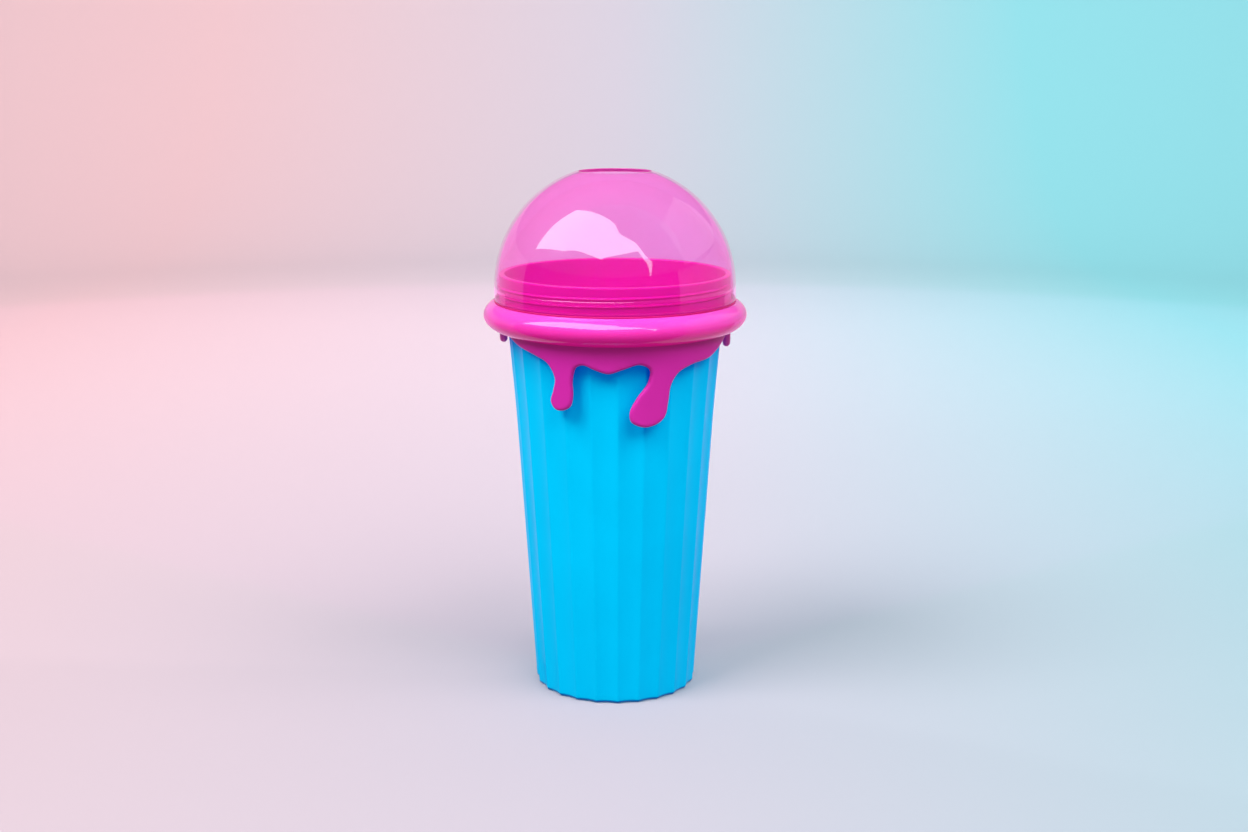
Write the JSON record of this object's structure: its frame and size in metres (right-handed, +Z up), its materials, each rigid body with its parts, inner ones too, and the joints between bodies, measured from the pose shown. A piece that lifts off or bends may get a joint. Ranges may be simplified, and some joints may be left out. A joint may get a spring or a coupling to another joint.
{
  "type": "slush maker cup",
  "caption": "Hand-squeezed slush cup: soft fluted sleeve, freezing liner, rolled collar with a dripping skirt, and a screw-on dome lid with a straw hole.",
  "frame": {"origin": "centre of the round base, on the surface that the cup stands on", "axes": "+Z up along the cup's axis, towards the dome; -Y is the front, with the longest drip a little to its right (+X)"},
  "size_m": [0.1152, 0.1152, 0.23],
  "materials": {
    "sleeve_silicone": "satin",
    "liner_plastic": "satin",
    "gel": "satin",
    "rim_plastic": "gloss",
    "plug_rubber": "matte",
    "seal_rubber": "satin",
    "collar_plastic": "gloss",
    "roll_plastic": "gloss",
    "skirt_silicone": "satin",
    "dome_plastic": "gloss"
  },
  "bodies": {
    "sleeve": {"outer_cup": "sleeve_silicone"},
    "liner": {"liner_outer_wall": "liner_plastic", "freezing_gel": "gel", "liner_inner_wall": "liner_plastic", "liner_rim_ring": "rim_plastic", "gel_fill_plugs": "plug_rubber"},
    "collar": {"rim_gasket": "seal_rubber", "neck_ring": "collar_plastic", "collar_roll": "roll_plastic", "drip_skirt": "skirt_silicone"},
    "seal": {"dome_seal": "seal_rubber"},
    "dome": {"dome_lid": "dome_plastic"}
  },
  "joints": [
    {"name": "liner_lift", "type": "slide", "parent": "sleeve", "child": "liner", "axis": [0, 0, 1], "range_m": [0, 0.165]},
    {"name": "collar_lift", "type": "slide", "parent": "liner", "child": "collar", "axis": [0, 0, 1], "range_m": [0, 0.045]},
    {"name": "dome_rise", "type": "slide", "parent": "collar", "child": "seal", "axis": [0, 0, 1], "range_m": [0, 0.0161]},
    {"name": "dome_turn", "type": "hinge", "parent": "seal", "child": "dome", "pos_m": [0, 0, 0.1744], "axis": [0, 0, 1], "range_deg": [0, 1800]}
  ],
  "couplings": [
    {"joint": "dome_rise", "follows": "dome_turn", "m_per_rad": 0.0005093}
  ]
}
